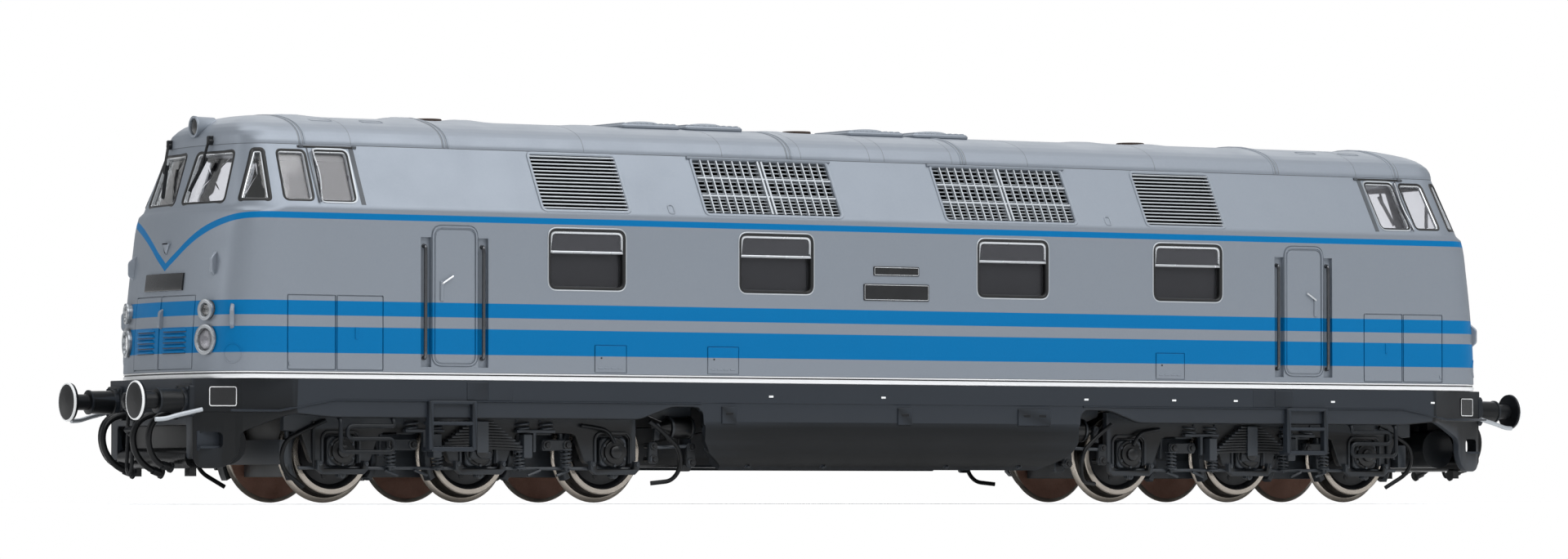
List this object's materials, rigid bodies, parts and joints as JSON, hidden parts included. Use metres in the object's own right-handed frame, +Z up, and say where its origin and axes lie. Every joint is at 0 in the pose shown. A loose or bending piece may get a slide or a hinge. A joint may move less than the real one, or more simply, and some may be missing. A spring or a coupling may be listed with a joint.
{
  "type": "scale model diesel locomotive",
  "caption": "H0 scale model of a six-axle double-cab diesel locomotive: hollow windowed body, roof, underframe, two swivelling bogies and turning wheelsets, silver-grey with blue stripes",
  "frame": {"origin": "middle of the locomotive on the plane that the wheel flanges stand on (1 mm below the rail head)", "axes": "+X runs from the front cab (nearer in the picture) to the rear cab, +Y across the body to the far side, +Z up"},
  "size_m": [0.2238, 0.036, 0.052],
  "materials": {
    "body_plastic": "satin silver-grey lacquer with printed blue stripes",
    "frame_plastic": "matt blue-black moulded plastic",
    "detail_plastic": "matt black fine moulded plastic",
    "window_frame": "silver-printed rims",
    "clear_pane": "clear moulded panes",
    "grille_plastic": "satin grey grilles",
    "lamp_ring": "silver lamp rims round clear lenses",
    "wire": "blackened wire",
    "plate_black": "gloss black blank plates",
    "strip_silver": "white-silver printed strip",
    "buffer_black": "black buffers with white rims",
    "exhaust_brown": "dull brown",
    "cab_inside": "dark grey moulded interior",
    "weight_block": "plain cast block",
    "bogie_plastic": "matt blue-black moulded plastic",
    "wheel_metal": "turned nickel-plated rims with black centres"
  },
  "bodies": {
    "chassis": {"body_shell": "body_plastic", "roof": "body_plastic", "cab_glazing": "clear_pane", "side_window_glazing": "clear_pane", "side_window_frames": "window_frame", "louvre_grilles": "grille_plastic", "mesh_grilles": "grille_plastic", "headlamps": "lamp_ring", "wipers": "detail_plastic", "door_handrails": "wire", "number_plates": "plate_black", "sill_strip": "strip_silver", "underframe": "frame_plastic", "fuel_tank": "frame_plastic", "aprons": "frame_plastic", "buffers": "buffer_black", "drawgear": "detail_plastic", "hoses": "detail_plastic", "door_steps": "detail_plastic", "climbing_loops": "detail_plastic", "roof_vents": "body_plastic", "exhaust_stacks": "exhaust_brown", "cab_interiors": "cab_inside", "engine_block": "weight_block", "air_tanks": "frame_plastic", "brake_cylinders": "frame_plastic"},
    "front_bogie": {"front_bogie_frame": "bogie_plastic", "front_bogie_sides": "bogie_plastic", "front_bogie_springs": "bogie_plastic", "front_brake_gear": "bogie_plastic"},
    "rear_bogie": {"rear_bogie_frame": "bogie_plastic", "rear_bogie_sides": "bogie_plastic", "rear_bogie_springs": "bogie_plastic", "rear_brake_gear": "bogie_plastic"},
    "axle_1": {"wheelset_1": "wheel_metal"},
    "axle_2": {"wheelset_2": "wheel_metal"},
    "axle_3": {"wheelset_3": "wheel_metal"},
    "axle_4": {"wheelset_4": "wheel_metal"},
    "axle_5": {"wheelset_5": "wheel_metal"},
    "axle_6": {"wheelset_6": "wheel_metal"}
  },
  "joints": [
    {"name": "front_bogie_swivel", "type": "hinge", "parent": "chassis", "child": "front_bogie", "pos_m": [-0.0625, 0, 0.0145], "axis": [0, 0, 1], "range_deg": [-8, 8]},
    {"name": "rear_bogie_swivel", "type": "hinge", "parent": "chassis", "child": "rear_bogie", "pos_m": [0.0625, 0, 0.0145], "axis": [0, 0, 1], "range_deg": [-8, 8]},
    {"name": "axle_1_spin", "type": "hinge", "parent": "front_bogie", "child": "axle_1", "pos_m": [-0.08305, 0, 0.00675], "axis": [0, 1, 0], "continuous": true},
    {"name": "axle_2_spin", "type": "hinge", "parent": "front_bogie", "child": "axle_2", "pos_m": [-0.0625, 0, 0.00675], "axis": [0, 1, 0], "continuous": true},
    {"name": "axle_3_spin", "type": "hinge", "parent": "front_bogie", "child": "axle_3", "pos_m": [-0.04195, 0, 0.00675], "axis": [0, 1, 0], "continuous": true},
    {"name": "axle_4_spin", "type": "hinge", "parent": "rear_bogie", "child": "axle_4", "pos_m": [0.04195, 0, 0.00675], "axis": [0, 1, 0], "continuous": true},
    {"name": "axle_5_spin", "type": "hinge", "parent": "rear_bogie", "child": "axle_5", "pos_m": [0.0625, 0, 0.00675], "axis": [0, 1, 0], "continuous": true},
    {"name": "axle_6_spin", "type": "hinge", "parent": "rear_bogie", "child": "axle_6", "pos_m": [0.08305, 0, 0.00675], "axis": [0, 1, 0], "continuous": true}
  ]
}
